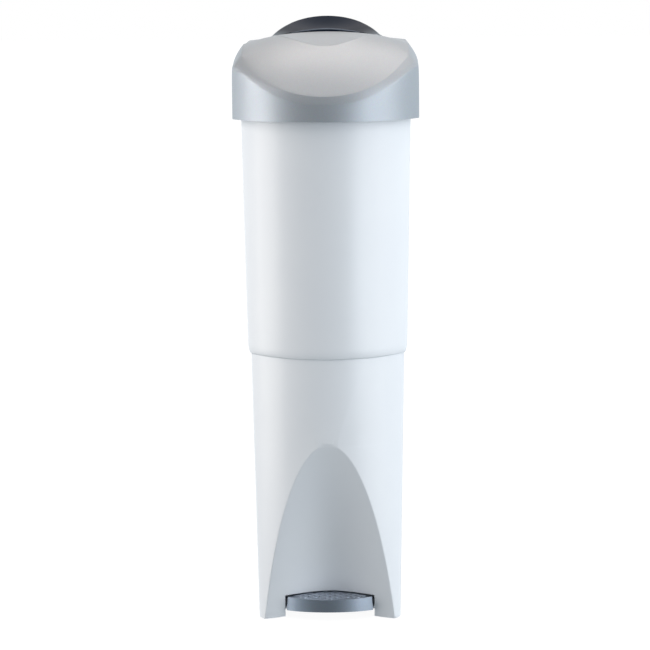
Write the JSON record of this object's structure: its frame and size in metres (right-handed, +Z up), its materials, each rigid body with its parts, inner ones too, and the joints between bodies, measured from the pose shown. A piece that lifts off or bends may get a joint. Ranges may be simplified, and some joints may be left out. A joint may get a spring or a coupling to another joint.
{
  "type": "nappy bin",
  "caption": "Tall narrow pedal-operated nappy bin: tapered base with a toe recess, sleeve extension, lift-off hood and a scooped flap that the pedal opens.",
  "frame": {"origin": "on the floor, under the middle of the hood's outline", "axes": "+Z up, the bowed front and the pedal towards -Y, +X to the right seen from the front"},
  "size_m": [0.23, 0.38, 0.754],
  "materials": {
    "white_plastic": "satin moulded ABS",
    "silver_plastic": "satin silver-grey moulded ABS",
    "slate_plastic": "satin slate moulded ABS",
    "pedal_plastic": "satin metallic slate",
    "black_nylon": "moulded nylon",
    "steel": "zinc plated",
    "rubber": "moulded rubber"
  },
  "bodies": {
    "bin": {"base_body": "white_plastic", "base_plate": "white_plastic", "inner_floor": "white_plastic", "rubber_feet": "rubber", "base_screws": "steel", "axle_bracket_left": "white_plastic", "axle_bracket_right": "white_plastic", "bracket_screws": "steel", "pedal_axle": "steel", "rod_guide_lower": "black_nylon", "rod_guide_upper": "white_plastic", "rod_cover": "white_plastic", "extension_body": "white_plastic", "bag_ring": "slate_plastic"},
    "pedal": {"pedal": "pedal_plastic", "pedal_lever": "steel", "pedal_screws": "steel"},
    "rod": {"push_rod": "steel", "rod_foot": "black_nylon", "rod_head": "black_nylon", "rod_collar": "steel", "return_spring": "steel"},
    "hood": {"lid_hood": "silver_plastic", "hinge_bracket_left": "silver_plastic", "hinge_bracket_right": "silver_plastic", "flap_hinge_pin": "steel", "flap_buffers": "rubber"},
    "flap": {"flap": "slate_plastic", "flap_hinge_arm": "slate_plastic"}
  },
  "joints": [
    {"name": "hood_lift_off", "type": "slide", "parent": "bin", "child": "hood", "axis": [0, 0, 1], "range_m": [0, 0.12]},
    {"name": "flap_open", "type": "hinge", "parent": "hood", "child": "flap", "pos_m": [0, 0.15789, 0.71553], "axis": [-1, 0, 0], "range_deg": [0, 60]},
    {"name": "pedal_press", "type": "hinge", "parent": "bin", "child": "pedal", "pos_m": [0, -0.06403, 0.02], "axis": [1, 0, 0], "range_deg": [0, 5.11]},
    {"name": "rod_lift", "type": "slide", "parent": "bin", "child": "rod", "axis": [0, 0, 1], "range_m": [0, 0.01837], "stiffness_N_per_m": 150, "springref_m": -0.02, "deforming": ["return_spring"]}
  ],
  "couplings": [
    {"joint": "pedal_press", "follows": "flap_open", "ratio": 0.085},
    {"joint": "rod_lift", "follows": "flap_open", "m_per_rad": 0.017524}
  ]
}
